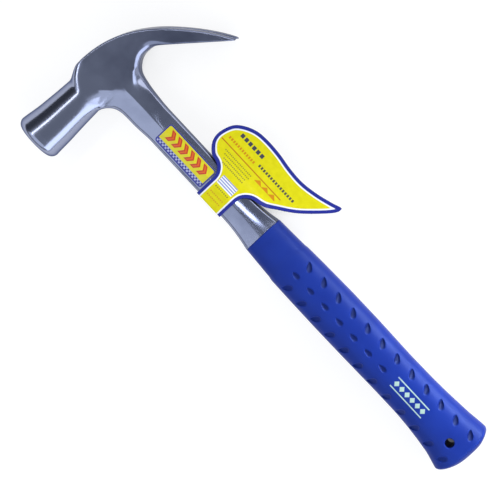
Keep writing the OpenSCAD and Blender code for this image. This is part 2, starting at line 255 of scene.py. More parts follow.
# Neck: a bar with a ridge along each face, which opens out at the head and at the collar.
GRIP_X = 154.0
NECK_START_X = 16.0
NECK_LAP = 0.2
COLLAR_RUN = 25.0
HEAD_END_X = 60.0
CLAW_EDGE_Y = 9.95
CLAW_EDGE_ROOT = 4.6
CLAW_EDGE_ROOT_RUN = 36.0
CLAW_EDGE_COLLAR = 2.6
POLL_EDGE_Y = -11.15
POLL_EDGE_SWELL = 1.0
POLL_EDGE_SWELL_X = 66.0
POLL_EDGE_SWELL_RUN = 16.0
POLL_EDGE_ROOT = 9.4
POLL_EDGE_ROOT_X = 52.0
POLL_EDGE_ROOT_RUN = 22.3
POLL_EDGE_ROOT_POWER = 5
POLL_EDGE_COLLAR = 2.3

# Half the neck's thickness at its ridge and its two rims, with what head and collar add.
RISE_RUN = 26.0
RIDGE_HALF = 7.5
RIDGE_RISE = 4.5
RIDGE_COLLAR = 2.5
RIM_HALF = 4.2
CLAW_RIM_RISE = 5.0
POLL_RIM_RISE = 1.8
RIM_COLLAR = 2.7
CLAW_RIM_OUT = 0.6
POLL_RIM_OUT = 0.4

# The ridge's softness, the crowned claw-side facet near the head, and the round collar.
RIDGE_SOFT = 0.05
RIDGE_SOFT_COLLAR = 0.15
RIDGE_SOFT_X = 112.0
RIDGE_SOFT_RUN = 14.0
BULGE = 0.45
BULGE_START_X = 42.0
BULGE_END_X = 65.0
BULGE_RUN = 8.0
ROUND_COLLAR_X = 118.0
ROUND_COLLAR_RUN = 18.0
ROOF_LEAN = 0.93
EDGE_LEAN = 0.95
CLAW_RIM_EDGE = 1.1
POLL_RIM_EDGE = 2.4
NECK_CAP_EDGE = 1.2
NECK_CAP_SINK = 2.0
NECK_CAP_X = 20.0
NECK_CAP_RUN = 4.0


def collar(x):
    """0 on the plain neck and 1 at the grip."""
    return linear(x, GRIP_X - COLLAR_RUN, COLLAR_RUN)


def claw_edge(x):
    """y of the neck's claw-side edge."""
    root = CLAW_EDGE_ROOT * linear(x, HEAD_END_X, -CLAW_EDGE_ROOT_RUN) ** 2
    return CLAW_EDGE_Y + root + CLAW_EDGE_COLLAR * collar(x) ** 2


def poll_edge(x):
    """y of the neck's poll-side edge."""
    swell = POLL_EDGE_SWELL * ease(x, POLL_EDGE_SWELL_X, -POLL_EDGE_SWELL_RUN)
    root = POLL_EDGE_ROOT * linear(x, POLL_EDGE_ROOT_X, -POLL_EDGE_ROOT_RUN) ** POLL_EDGE_ROOT_POWER
    return POLL_EDGE_Y - swell - root - POLL_EDGE_COLLAR * collar(x) ** 2


def rise_to_cheek(x):
    """0 on the plain neck and 1 where its ridge reaches the cheek."""
    return np.maximum(0.0, (HEAD_END_X - x) / RISE_RUN) ** 2


def claw_rim_level(x):
    """Half the neck's thickness at its claw-side edge, without the collar."""
    return RIM_HALF + CLAW_RIM_RISE * rise_to_cheek(x)


def neck_roof(x, y):
    """Half the neck's thickness: it falls from the ridge to the rims on both sides."""
    rise = rise_to_cheek(x)
    spread = collar(x) ** 2
    claw_side = y > 0.0
    ridge = RIDGE_HALF + RIDGE_RISE * rise + RIDGE_COLLAR * spread
    claw_rim = claw_rim_level(x) + RIM_COLLAR * spread
    poll_rim = RIM_HALF + POLL_RIM_RISE * np.minimum(rise, 1.0) + RIM_COLLAR * spread
    rim = np.where(claw_side, claw_rim, poll_rim)
    across = np.where(claw_side, y / (claw_edge(x) + CLAW_RIM_OUT), y / (poll_edge(x) + POLL_RIM_OUT))
    soft = RIDGE_SOFT + RIDGE_SOFT_COLLAR * ease(x, RIDGE_SOFT_X, RIDGE_SOFT_RUN)
    fall = np.sqrt(across * across + soft * soft)
    bulge = ease(x, BULGE_START_X, BULGE_RUN) * ease(x, BULGE_END_X, -BULGE_RUN)
    bulge = BULGE * bulge * np.sin(math.pi * np.clip(across, 0.0, 1.0))
    round_part = ease(x, ROUND_COLLAR_X, ROUND_COLLAR_RUN)
    claw_fall = fall * (1.0 - round_part) + across * across * round_part
    roof = ridge - (ridge - rim) * np.where(claw_side, claw_fall, fall)
    return roof + np.where(claw_side, bulge, 0.0)


def neck_field(x, y, z):
    top = (np.abs(z) - neck_roof(x, y)) * ROOF_LEAN
    body = round_edge(top, (y - claw_edge(x)) * EDGE_LEAN, CLAW_RIM_EDGE)
    body = round_edge(body, (poll_edge(x) - y) * EDGE_LEAN, POLL_RIM_EDGE)
    cap = cheek_level(y) - NECK_CAP_SINK * ease(x, NECK_CAP_X, -NECK_CAP_RUN)
    body = round_edge(body, np.abs(z) - cap, NECK_CAP_EDGE)
    return np.maximum(body, np.maximum(NECK_START_X - x, x - GRIP_X - NECK_LAP))


# Throat: the web in the corner between neck and claw, and the broad bevel round it, which
# narrows and runs out along the neck and along the claw.
WEB_R = 9.5
WEB_X = 30.0
WEB_Y = 18.0
WEB_HALF = 9.0
ON_CLAW_Y = 18.0
ON_CLAW_RUN = 8.0
BEVEL_WIDTH = 3.7
BEVEL_FADE = 4.7
BEVEL_NECK_X = 33.0
BEVEL_NECK_RUN = 20.0
BEVEL_CLAW_Y = 26.0
BEVEL_CLAW_RUN = 17.0
BEVEL_END = 9.0
BEVEL_END_X = 100.0
BEVEL_OUT = 0.62
BEVEL_UP = 0.78
BEVEL_EDGE = 1.2
HEAD_FILLET = 1.6


def throat(x, y, z):
    """Fields of the web and of the bevel."""
    rim = fillet(rail(throat_rail, y, x, 1.0), rail(claw_edge, x, y, 1.0), WEB_R)
    on_claw = ease(y, ON_CLAW_Y, ON_CLAW_RUN)
    level = np.minimum(cheek_level(y), claw_rim_level(x)) * (1.0 - on_claw) + head_half(y) * on_claw
    neck_width = BEVEL_WIDTH - BEVEL_FADE * ease(x, BEVEL_NECK_X, BEVEL_NECK_RUN)
    neck_width = neck_width - BEVEL_END * ease(x, BEVEL_END_X, BEVEL_NECK_RUN)
    claw_width = BEVEL_WIDTH - BEVEL_FADE * ease(y, BEVEL_CLAW_Y, BEVEL_CLAW_RUN)
    width = neck_width * (1.0 - on_claw) + claw_width * on_claw
    web = np.maximum(rim, np.abs(z) - level)
    web = np.maximum(web, np.maximum(np.abs(x - WEB_X), np.abs(y - WEB_Y)) - WEB_HALF)
    return web, BEVEL_OUT * (rim + width) + BEVEL_UP * (np.abs(z) - level)


def forging_field(x, y, z):
    web, bevel = throat(x, y, z)
    joined = fillet(head_field(x, y, z), neck_field(x, y, z), HEAD_FILLET)
    joined = np.minimum(joined, web)
    joined = np.maximum(joined, np.abs(z) - head_half(y))
    return round_edge(joined, bevel, BEVEL_EDGE)


# Tang: an I-beam inside the grip, with a hole round the grip's lanyard hole.
LANYARD_X = 324.7
LANYARD_Y = -2.0
LANYARD_R = 3.0
TANG_START_X = 152.0
TANG_END_X = 332.0
TANG_HALF_Y = 10.0
TANG_HALF_Z = 5.0
TANG_WEB_HALF = 2.5
TANG_HOLE_R = 4.6
GROOVE_START_X = 164.0
GROOVE_END_X = 316.1
GROOVE_HALF = 6.0


def tang_field(x, y, z):
    bar = np.maximum(np.abs(y) - TANG_HALF_Y, np.abs(z) - TANG_HALF_Z)
    bar = np.maximum(bar, np.maximum(TANG_START_X - x, x - TANG_END_X))
    groove = np.maximum(np.abs(y) - GROOVE_HALF, TANG_WEB_HALF - np.abs(z))
    groove = np.maximum(groove, np.maximum(GROOVE_START_X - x, x - GROOVE_END_X))
    hole = np.hypot(x - LANYARD_X, y - LANYARD_Y) - TANG_HOLE_R
    return np.maximum(bar, -np.minimum(groove, hole))


# Grip: half its width towards the claw and the poll, and half its thickness, at stations along it.
GRIP_STATIONS = [154, 162, 178, 193, 217, 240, 270, 290, 300, 310, 320, 331]
GRIP_CLAW_SIDE = [13.3, 13.6, 14.2, 14.8, 15.45, 15.6, 15.25, 15.6, 16.05, 16.75, 17.5, 18.95]
GRIP_POLL_SIDE = [13.7, 14.2, 15.1, 15.3, 15.4, 15.2, 14.7, 14.65, 15.2, 16.1, 17.4, 20.3]
GRIP_ACROSS = [10.8, 11.2, 11.9, 12.3, 12.7, 12.6, 12.3, 12.4, 12.7, 13.1, 13.5, 13.8]
GRIP_FINE_X = np.linspace(140.0, 345.0, 411)
GRIP_SMOOTH = 8
GRIP_POWER = 2.5
GRIP_SKIN_LEAN = 0.95
GRIP_MOUTH_EDGE = 0.5
GRIP_HOLE_EDGE = 0.35
TANG_PLAY = 0.1

# Butt: its farthest point, and how far its end falls back to the claw side, the poll side and the faces.
BUTT_X = 339.0
BUTT_Y = 2.5
BUTT_CLAW_FALL = 0.00112
BUTT_CLAW_POWER = 3
BUTT_POLL_FALL = 0.0016
BUTT_POLL_POWER = 2.7
BUTT_FACE_FALL = 2.4
BUTT_FACE_POWER = 4
BUTT_LEAN = 0.85
BUTT_EDGE = 1.2

# A shallow curved step where the plain collar ends and the dimpled hand zone starts.
HAND_ZONE_X = 173.0
HAND_ZONE_Y = -1.0
HAND_ZONE_CURVE = 0.012
HAND_ZONE_RUN = 3.0
HAND_ZONE_HEIGHT = 0.28

# Dimples: moulded teardrops in rows on both faces. A row has its count, its first place, its
# pitch and drift, the way its drops point in degrees, and their size.
DIMPLE_ROWS = [
    (12, 188.0, 8.2, 12.9, 0.19, 137.0, 1.0),
    (7, 186.0, -1.1, 12.9, 0.0, 180.0, 0.9),
    (12, 188.0, -10.3, 12.8, -0.19, -133.0, 1.0),
]
DIMPLE_LENGTH = 3.5
DIMPLE_WIDTH = 1.75
DIMPLE_TAPER = 0.35
DIMPLE_DEPTH = 1.2
DIMPLE_ROUND = 0.6
DIMPLE_REACH = 4.5
DIMPLE_LEAST_Z = 3.0
DIMPLE_Z_RUN = 3.0


def along_grip(values, x):
    """Smooth curve through a size given at the grip's stations."""
    curve = np.interp(GRIP_FINE_X, GRIP_STATIONS, values)
    kernel = np.hanning(2 * GRIP_SMOOTH + 1)
    kernel = kernel / kernel.sum()
    padded = np.pad(curve, GRIP_SMOOTH, mode="edge")
    return np.interp(x, GRIP_FINE_X, np.convolve(padded, kernel, mode="valid"))


def dimples(x, y, z):
    """Depth of the dimples at each place on the grip, 0 to 1."""
    depth = np.zeros_like(x)
    for count, first_x, first_y, pitch, drift, angle, size in DIMPLE_ROWS:
        c, s = math.cos(math.radians(angle)), math.sin(math.radians(angle))
        for i in range(count):
            cx, cy = first_x + pitch * i, first_y + drift * i
            near = (np.abs(x - cx) < DIMPLE_REACH) & (np.abs(y - cy) < DIMPLE_REACH)
            if not near.any():
                continue
            dx, dy = x[near] - cx, y[near] - cy
            along = (dx * c + dy * s) / (DIMPLE_LENGTH * size)
            width = DIMPLE_WIDTH * size * (1.0 - DIMPLE_TAPER * np.clip(along, -1.0, 1.0))
            across = (dy * c - dx * s) / width
            inside = np.clip(1.0 - along * along - across * across, 0.0, 1.0)
            depth[near] = np.maximum(depth[near], inside**DIMPLE_ROUND)
    return depth * ease(np.abs(z), DIMPLE_LEAST_Z, DIMPLE_Z_RUN)


def grip_field(x, y, z):
    claw = along_grip(GRIP_CLAW_SIDE, x)
    poll = along_grip(GRIP_POLL_SIDE, x)
    thick = along_grip(GRIP_ACROSS, x)
    half = (claw + poll) / 2
    middle = (claw - poll) / 2
    across = np.abs((y - middle) / half)
    reach = (across**GRIP_POWER + np.abs(z / thick) ** GRIP_POWER) ** (1.0 / GRIP_POWER)
    skin = (reach - 1.0) * np.sqrt(half * thick) * GRIP_SKIN_LEAN
    skin = skin + DIMPLE_DEPTH * dimples(x, y, z)
    zone = x - HAND_ZONE_X - HAND_ZONE_CURVE * (y - HAND_ZONE_Y) ** 2
    skin = skin - HAND_ZONE_HEIGHT * ease(zone, 0.0, HAND_ZONE_RUN)
    side = np.abs(y - BUTT_Y)
    claw_fall = BUTT_CLAW_FALL * side**BUTT_CLAW_POWER
    poll_fall = BUTT_POLL_FALL * side**BUTT_POLL_POWER
    face_fall = BUTT_FACE_FALL * np.abs(z / GRIP_ACROSS[-1]) ** BUTT_FACE_POWER
    end = BUTT_X - np.where(y > BUTT_Y, claw_fall, poll_fall) - face_fall
    body = round_edge(skin, (x - end) * BUTT_LEAN, BUTT_EDGE)
    body = round_edge(body, GRIP_X - x, GRIP_MOUTH_EDGE)
    hole = np.hypot(x - LANYARD_X, y - LANYARD_Y) - LANYARD_R
    body = round_edge(body, -hole, GRIP_HOLE_EDGE)
    return np.maximum(body, TANG_PLAY - tang_field(x, y, z))


# Meshing: points are pulled onto the surface in a few rounds, each limited to a share of the grid's step.
GRID_BAND = 3.0
PULL_ROUNDS = 3
PULL_REACH = 0.04
PULL_LIMIT = 0.4
LEAST_SLOPE = 0.2
NORMAL_REACH = 0.25


def field_slope(field, points, reach):
    px, py, pz = points.T
    slope = [
        field(px + reach, py, pz) - field(px - reach, py, pz),
        field(px, py + reach, pz) - field(px, py - reach, pz),
        field(px, py, pz + reach) - field(px, py, pz - reach),
    ]
    return np.stack(slope, axis=1) / (2 * reach)


def add_mesh(name, points, quads):
    """New smooth-shaded object from points in the hammer's millimetres."""
    mesh = bpy.data.meshes.new(name)
    mesh.from_pydata(to_frame(points).tolist(), [], quads.tolist())
    mesh.polygons.foreach_set("use_smooth", [True] * len(mesh.polygons))
    mesh.update()
    piece = bpy.data.objects.new(name, mesh)
    bpy.context.scene.collection.objects.link(piece)
    return piece


def mesh_from_field(name, field, low, high, step):
    """Closed quad mesh of a field's surface, and its points."""
    low = np.array(low, dtype=float)
    axes = [np.arange(a, b + step, step) for a, b in zip(low, high)]
    x, y, z = np.meshgrid(*axes, indexing="ij")
    grid = openvdb.FloatGrid(GRID_BAND * step)
    grid.copyFromArray(field(x, y, z).astype(np.float32))
    points, quads = grid.convertToQuads(0.0)
    points = np.asarray(points, dtype=float) * step + low
    for _ in range(PULL_ROUNDS):
        slope = field_slope(field, points, PULL_REACH)
        size = np.maximum((slope * slope).sum(axis=1), LEAST_SLOPE)
        move = -field(*points.T)[:, None] * slope / size[:, None]
        points = points + np.clip(move, -PULL_LIMIT * step, PULL_LIMIT * step)
    slope = field_slope(field, points, NORMAL_REACH)
    normals = slope / np.linalg.norm(slope, axis=1, keepdims=True)
    quads = np.asarray(quads, dtype=int)
    a, b, c, d = (points[quads[:, i]] for i in range(4))
    volume = (a * np.cross(c - a, d - b)).sum()
    if volume < 0:
        quads = quads[:, ::-1]
    piece = add_mesh(name, points, quads)
    piece.data.normals_split_custom_set_from_vertices(normals.tolist())
    return piece, points


# Materials: small helpers that write shader maths as plain expressions.


class Term:
    """A shader value that can be added, multiplied and compared."""

    def __init__(self, tree, socket):
        self.tree = tree
        self.socket = socket

    def maths(self, operation, *others):
        node = self.tree.nodes.new("ShaderNodeMath")
        node.operation = operation
        for slot, value in zip(node.inputs, (self,) + others):
            if isinstance(value, Term):
                self.tree.links.new(value.socket, slot)
            else:
                slot.default_value = value
        return Term(self.tree, node.outputs[0])

    def __add__(self, other):
        return self.maths("ADD", other)

    def __sub__(self, other):
        return self.maths("SUBTRACT", other)

    def __mul__(self, other):
        return self.maths("MULTIPLY", other)

    def absolute(self):
        return self.maths("ABSOLUTE")

    def above(self, level, soft):
        """0 below the level and 1 above it, over a soft edge."""
        node = self.tree.nodes.new("ShaderNodeMapRange")
        node.interpolation_type = "SMOOTHSTEP"
        self.tree.links.new(self.socket, node.inputs["Value"])
        node.inputs["From Min"].default_value = level - soft
        node.inputs["From Max"].default_value = level + soft
        return Term(self.tree, node.outputs["Result"])

    def below(self, level, soft):
        return self.above(level, soft).maths("MULTIPLY_ADD", -1.0, 1.0)

    def within(self, low, high, soft):
        """1 between two levels and 0 outside them."""
        return self.above(low, soft) * self.below(high, soft)

    def near(self, middle, half, soft):
        """1 up to a half width on both sides of a level, and 0 farther off."""
        return (self - middle).absolute().below(half, soft)

    def either(self, other):
        return self.maths("MAXIMUM", other)

    def repeat(self, length):
        return self.maths("FLOORED_MODULO", length)


class Finish:
    """One material: its shader, coordinates in millimetres, and helpers to colour it."""

    def __init__(self, name):
        self.material = bpy.data.materials.new(name)
        self.material.use_nodes = True
        self.tree = self.material.node_tree
        self.shader = self.tree.nodes["Principled BSDF"]
        coordinates = self.tree.nodes.new("ShaderNodeTexCoord")
        self.place = self.tree.nodes.new("ShaderNodeMapping")
        self.tree.links.new(coordinates.outputs["Object"], self.place.inputs["Vector"])
        self.place.inputs["Scale"].default_value = (MM_PER_M, MM_PER_M, MM_PER_M)
        self.place.inputs["Location"].default_value = tuple(HAMMER_ORIGIN)
        split = self.tree.nodes.new("ShaderNodeSeparateXYZ")
        self.tree.links.new(self.place.outputs[0], split.inputs[0])
        self.x, self.y, self.z = (Term(self.tree, split.outputs[i]) for i in range(3))

    def noise(self, scale, detail, stretch=(1.0, 1.0, 1.0)):
        """Cloudy variation; scale is per millimetre."""
        mapping = self.tree.nodes.new("ShaderNodeMapping")
        mapping.inputs["Scale"].default_value = stretch
        self.tree.links.new(self.place.outputs[0], mapping.inputs["Vector"])
        node = self.tree.nodes.new("ShaderNodeTexNoise")
        node.inputs["Scale"].default_value = scale
        node.inputs["Detail"].default_value = detail
        self.tree.links.new(mapping.outputs[0], node.inputs["Vector"])
        return Term(self.tree, node.outputs["Fac"])

    def attribute(self, name):
        node = self.tree.nodes.new("ShaderNodeAttribute")
        node.attribute_name = name
        return Term(self.tree, node.outputs["Fac"])

    def ramp(self, term, low, low_colour, high, high_colour):
        """Colour that follows a value from a low to a high level."""
        node = self.tree.nodes.new("ShaderNodeValToRGB")
        stops = ((low, low_colour), (high, high_colour))
        for element, (position, colour) in zip(node.color_ramp.elements, stops):
            element.position = position
            element.color = (*colour, 1.0)
        self.tree.links.new(term.socket, node.inputs["Fac"])
        return node.outputs["Color"]

    def layer(self, under, over, amount):
        """Colour socket with another colour laid over it by an amount."""
        node = self.tree.nodes.new("ShaderNodeMix")
        node.data_type = "RGBA"
        factor, first, second = node.inputs[0], node.inputs[6], node.inputs[7]
        self.tree.links.new(amount.socket, factor)
        self.tree.links.new(under, first)
        second.default_value = (*over, 1.0)
        return node.outputs[2]

    def set(self, name, value):
        slot = self.shader.inputs[name]
        if isinstance(value, Term):
            self.tree.links.new(value.socket, slot)
        elif isinstance(value, bpy.types.NodeSocket):
            self.tree.links.new(value, slot)
        else:
            slot.default_value = value

    def bump(self, height, distance, strength):
        node = self.tree.nodes.new("ShaderNodeBump")
        node.inputs["Strength"].default_value = strength
        node.inputs["Distance"].default_value = distance
        self.tree.links.new(height.socket, node.inputs["Height"])
        self.tree.links.new(node.outputs["Normal"], self.shader.inputs["Normal"])


STEEL_DARK = (0.17, 0.19, 0.285)
STEEL_LIGHT = (0.33, 0.36, 0.49)
STEEL_TINT = (0.12, 0.14, 0.22, 1.0)
# Painted shade on the steel: how much darker its colour gets per millimetre towards the claws, and at most.
CLAW_PAINTED_SHADE_PER_MM = 0.008
CLAW_PAINTED_SHADE_MOST = 0.3


def steel_finish():
    look = Finish("polished_steel")
    streaks = look.noise(scale=1.6, detail=4.0, stretch=(0.18, 3.2, 1.0))
    clouds = look.noise(scale=0.05, detail=3.0)
    waves = look.noise(scale=0.12, detail=1.0, stretch=(0.5, 1.5, 1.0))
    # Painted shade: the steel's colour gets a little darker towards the claws, in place of darker
    # reflections there.
    tone_and_painted_shade = clouds - (look.y * CLAW_PAINTED_SHADE_PER_MM).maths("MINIMUM", CLAW_PAINTED_SHADE_MOST)
    look.set("Base Color", look.ramp(tone_and_painted_shade, 0.1, STEEL_DARK, 0.65, STEEL_LIGHT))
    look.set("Metallic", 1.0)
    look.set("Specular Tint", STEEL_TINT)
    look.set("Roughness", streaks * 0.08 + clouds * 0.05 + 0.13)
    look.set("Coat Weight", 0.15)
    look.set("Coat Roughness", 0.08)
    look.bump(waves, distance=0.000008, strength=0.3)
    return look.material


GRIP_DEEP = (0.004, 0.020, 0.215)
GRIP_BLUE = (0.006, 0.026, 0.25)
# Painted shade in the dimples: its dark colour, where the dimples' depth lets it in, and how strong it is,
# more towards the claw side.
GRIP_PAINTED_DIMPLE_SHADE = (0.002, 0.006, 0.07)
GRIP_TINT = (0.5, 0.65, 0.9, 1.0)
DIMPLE_SHADE_LEVEL = 0.45
DIMPLE_SHADE_SOFT = 0.35
DIMPLE_PAINTED_SHADE = 0.62
DIMPLE_PAINTED_SHADE_PER_MM = 0.026

# Ornament stamped on the grip's upper face: a row of lozenges between two plain lines.
STAMP_COLOUR = (0.42, 0.58, 0.46)
STAMP_COVER = 0.9
STAMP_X = 274.0
STAMP_Y = -0.9
STAMP_LEAST_Z = 2.0
LOZENGE_COUNT = 6
LOZENGE_PITCH = 4.6
LOZENGE_HALF = 2.1
LOZENGE_SLIM = 1.1
STAMP_LINE_OFF = 3.6
STAMP_LINE_HALF = 0.35
LOZENGE_EDGE = 0.15
STAMP_LINE_EDGE = 0.12
STAMP_END_EDGE = 0.1
STAMP_Z_EDGE = 0.5


def stamp(look):
    """1 on the stamped ornament and 0 beside it."""
    across = (look.y - STAMP_Y).absolute()
    step = (look.x - STAMP_X).repeat(LOZENGE_PITCH) - LOZENGE_PITCH / 2
    lozenges = (step.absolute() * LOZENGE_SLIM + across).below(LOZENGE_HALF, LOZENGE_EDGE)
    lines = across.near(STAMP_LINE_OFF, STAMP_LINE_HALF, STAMP_LINE_EDGE)
    span = look.x.within(STAMP_X, STAMP_X + LOZENGE_COUNT * LOZENGE_PITCH, STAMP_END_EDGE)
    return lozenges.either(lines) * span * look.z.above(STAMP_LEAST_Z, STAMP_Z_EDGE)


def grip_finish():
    look = Finish("blue_vinyl")
    grain = look.noise(scale=2.2, detail=4.0)
    clouds = look.noise(scale=0.06, detail=3.0)
    base = look.ramp(clouds, 0.3, GRIP_DEEP, 0.7, GRIP_BLUE)
    dimple_shade_mask = look.attribute("dimple_shade_mask").above(DIMPLE_SHADE_LEVEL, DIMPLE_SHADE_SOFT)
    # Painted shade: the dimples are darkened, more on the claw side than on the poll side.
    base = look.layer(base, GRIP_PAINTED_DIMPLE_SHADE, dimple_shade_mask * (look.y * DIMPLE_PAINTED_SHADE_PER_MM + DIMPLE_PAINTED_SHADE))
    base = look.layer(base, STAMP_COLOUR, stamp(look) * STAMP_COVER)
    look.set("Base Color", base)
    look.set("Roughness", grain * 0.10 + 0.48)
    look.set("Specular IOR Level", 0.35)
    look.set("Specular Tint", GRIP_TINT)
    look.bump(grain, distance=0.00006, strength=0.35)
    return look.material


# Colours of the print on label and card.
YELLOW = (0.74, 0.67, 0.008)
LABEL_YELLOW = (0.68, 0.60, 0.007)
CARD_YELLOW = (0.68, 0.61, 0.006)
PRINT_BLUE = (0.022, 0.030, 0.26)
PALE_BLUE = (0.55, 0.58, 0.80)
STRIPE_BLUE = (0.10, 0.14, 0.45)
PRINT_RED = (0.55, 0.035, 0.01)
CORE_ORANGE = (0.70, 0.12, 0.01)
ORANGE = (0.62, 0.24, 0.01)
RULE_ORANGE = (0.50, 0.17, 0.01)
RUST = (0.60, 0.26, 0.02)
OLIVE = (0.16, 0.14, 0.03)
BLACK = (0.06, 0.06, 0.08)
WARM_BLACK = (0.07, 0.07, 0.06)
PRINT_WHITE = (0.86, 0.86, 0.88)

# How far a printed edge blurs to each side, in millimetres.
BROAD_EDGE = 0.15
BORDER_EDGE = 0.12
PRINT_EDGE = 0.1
DASH_EDGE = 0.08
FINE_EDGE = 0.06

LABEL_X = 66.0
LABEL_LENGTH = 41.0
LABEL_MIDDLE = -1.2
LABEL_WIDTH = 14.6
LABEL_CORNER = 2.0
LABEL_BORDER = 0.9

# A row of whole chevrons on the label, each with a core of another colour.
CHEVRON_COUNT = 6
CHEVRON_PITCH = 5.6
CHEVRON_X = -2.0
CHEVRON_Y = 1.9
CHEVRON_HALF = 3.5
CHEVRON_LEAN = 0.75
CHEVRON_BAR = (0.5, 3.7)
CORE_BAR = (1.5, 2.7)
CORE_HALF = 2.9

# A band of checks along the label's poll-side edge.
CHECK_TOP = -3.9
CHECK_PITCH = 2.4
CHECK_START = -40.0
CHECK_COVER = 0.75


def rounded_box(x, y, half_x, half_y, radius):
    """Shader distance from a rounded rectangle's edge, negative inside."""
    over_x = (x.absolute() - (half_x - radius)).maths("MAXIMUM", 0.0)
    over_y = (y.absolute() - (half_y - radius)).maths("MAXIMUM", 0.0)
    return (over_x * over_x + over_y * over_y).maths("SQRT") - radius


def checks(term):
    return (term - CHECK_START).repeat(CHECK_PITCH).above(CHECK_PITCH / 2, DASH_EDGE)


def label_finish():
    look = Finish("printed_label")
    x = look.x - (LABEL_X + LABEL_LENGTH / 2)
    y = look.y - LABEL_MIDDLE
    tone = look.noise(scale=0.4, detail=2.0)
    paint = look.ramp(tone, 0.3, LABEL_YELLOW, 0.7, YELLOW)
    rise = (y - CHEVRON_Y).absolute()
    place = x + rise * CHEVRON_LEAN + CHEVRON_X
    half_row = CHEVRON_COUNT * CHEVRON_PITCH / 2
    step = (place + half_row).repeat(CHEVRON_PITCH)
    inside = rise.below(CHEVRON_HALF, BROAD_EDGE) * place.near(0.0, half_row, BROAD_EDGE)
    bar = step.within(*CHEVRON_BAR, BORDER_EDGE) * inside
    core = step.within(*CORE_BAR, BROAD_EDGE) * rise.below(CORE_HALF, BROAD_EDGE) * inside
    paint = look.layer(paint, PRINT_RED, bar)
    paint = look.layer(paint, CORE_ORANGE, core)
    band = y.below(CHECK_TOP, PRINT_EDGE)
    check = (checks(x) - checks(y)).absolute()
    paint = look.layer(paint, PRINT_BLUE, band)
    paint = look.layer(paint, PALE_BLUE, band * check * CHECK_COVER)
    edge = rounded_box(x, y, LABEL_LENGTH / 2, LABEL_WIDTH / 2, LABEL_CORNER)
    paint = look.layer(paint, PRINT_BLUE, edge.near(-LABEL_BORDER / 2, LABEL_BORDER / 2, BORDER_EDGE))
    look.set("Base Color", paint)
    look.set("Roughness", tone * 0.12 + 0.26)
    look.bump(tone, distance=0.00004, strength=0.2)
    return look.material


# Card tag: its outline beside the neck as shares of a length and a height, the band round the neck,
# and the fold.
CARD_SHAPE = [
    (0.0, 0.37), (0.03, 0.6), (0.09, 0.74), (0.18, 0.84), (0.28, 0.87), (0.41, 0.86), (0.54, 0.82),
    (0.67, 0.81), (0.8, 0.86), (0.92, 0.94), (1.0, 1.0), (0.99, 0.87), (0.9, 0.61), (0.8, 0.37),
    (0.69, 0.18), (0.6, 0.05), (0.48, 0.0), (0.34, 0.0), (0.17, 0.0), (0.1, 0.01), (0.05, 0.08), (0.01, 0.2),
]
CARD_CORNER = (90.0, 10.4)
CARD_SIZE = (85.2, 35.8)
CARD_CURVE_STEPS = 6
CARD_FILLET = 8.0
CARD_THICK = 0.4
BAND_X = 107.7
BAND_WIDTH = 20.4
BAND_TOP = 25.0
LEAF_Z = 0.3
FOLD_Y = -11.7

# Corners of the front leaf's fold as y and z, from its far edge over the neck's ridge to the poll side.
FOLD_CLAW_SIDE = [(48.0, LEAF_Z), (17.5, LEAF_Z), (11.5, 5.1), (2.5, 7.68), (0.0, 8.4)]
FOLD_POLL_SIDE = [(-2.5, 7.69), (-10.4, 5.47), (FOLD_Y, 5.1), (FOLD_Y, 3.6)]
FOLD_ROUNDS = 3
FOLD_CUT = 0.25

# Grid of the card's mesh: its places along the hammer, its step, and how its edge is trimmed.
CARD_GRID_X = (88.0, 176.0)
CARD_STEP = 0.5
TRIM_ROUNDS = 4
TRIM_REACH = 0.02
TRIM_LIMIT = 0.7
TRIM_LEAST_SLOPE = 0.25
FOLDED_Y = 5.0


def closed_curve(points, steps):
    """Smooth closed curve through a list of points."""
    here = np.asarray(points, dtype=float)
    before, following, after = np.roll(here, 1, 0), np.roll(here, -1, 0), np.roll(here, -2, 0)
    slope = (following - before) / 2
    bend = before - 2.5 * here + 2.0 * following - after / 2
    twist = (3.0 * here - before - 3.0 * following + after) / 2
    shares = np.arange(steps) / steps
    curve = [here + t * (slope + t * (bend + t * twist)) for t in shares]
    return np.stack(curve, axis=1).reshape(-1, 2)


CARD_POINTS = np.array(CARD_CORNER) + np.array(CARD_SHAPE) * np.array(CARD_SIZE)
CARD_OUTLINE = closed_curve(CARD_POINTS, CARD_CURVE_STEPS)


def outline_distance(x, y, outline):
    """Distance from a closed outline, negative inside."""
    nearest = np.full(x.shape, np.inf)
    inside = np.zeros(x.shape, dtype=bool)
    for (ax, ay), (bx, by) in zip(outline, np.roll(outline, -1, axis=0)):
        ex, ey = bx - ax, by - ay
        share = np.clip(((x - ax) * ex + (y - ay) * ey) / (ex * ex + ey * ey), 0.0, 1.0)
        nearest = np.minimum(nearest, np.hypot(x - ax - share * ex, y - ay - share * ey))
        if ay != by:
            inside ^= ((ay > y) != (by > y)) & (x < ax + (y - ay) * ex / ey)
    return np.where(inside, -nearest, nearest)


def card_distance(x, y):
    """Distance from the card's edge, as seen from the side, negative inside."""
    band = np.maximum(np.abs(x - BAND_X - BAND_WIDTH / 2) - BAND_WIDTH / 2, y - BAND_TOP)
    return fillet(outline_distance(x, y, CARD_OUTLINE), band, CARD_FILLET)


def fold_path():
    """The folded card's middle line across the hammer, from the front leaf's edge round to the back's."""
    corners = FOLD_CLAW_SIDE + FOLD_POLL_SIDE
    line = np.array(corners + [(y, -z) for y, z in reversed(corners)])
    for _ in range(FOLD_ROUNDS):
        behind, ahead = line[:-1], line[1:]
        cut = np.stack([behind + FOLD_CUT * (ahead - behind), ahead - FOLD_CUT * (ahead - behind)], axis=1)
        line = np.concatenate([line[:1], cut.reshape(-1, 2), line[-1:]])
    lengths = np.concatenate([[0.0], np.cumsum(np.hypot(*np.diff(line, axis=0).T))])
    even = np.linspace(0.0, lengths[-1], int(lengths[-1] / CARD_STEP))
    return np.stack([np.interp(even, lengths, line[:, i]) for i in range(2)], axis=1)


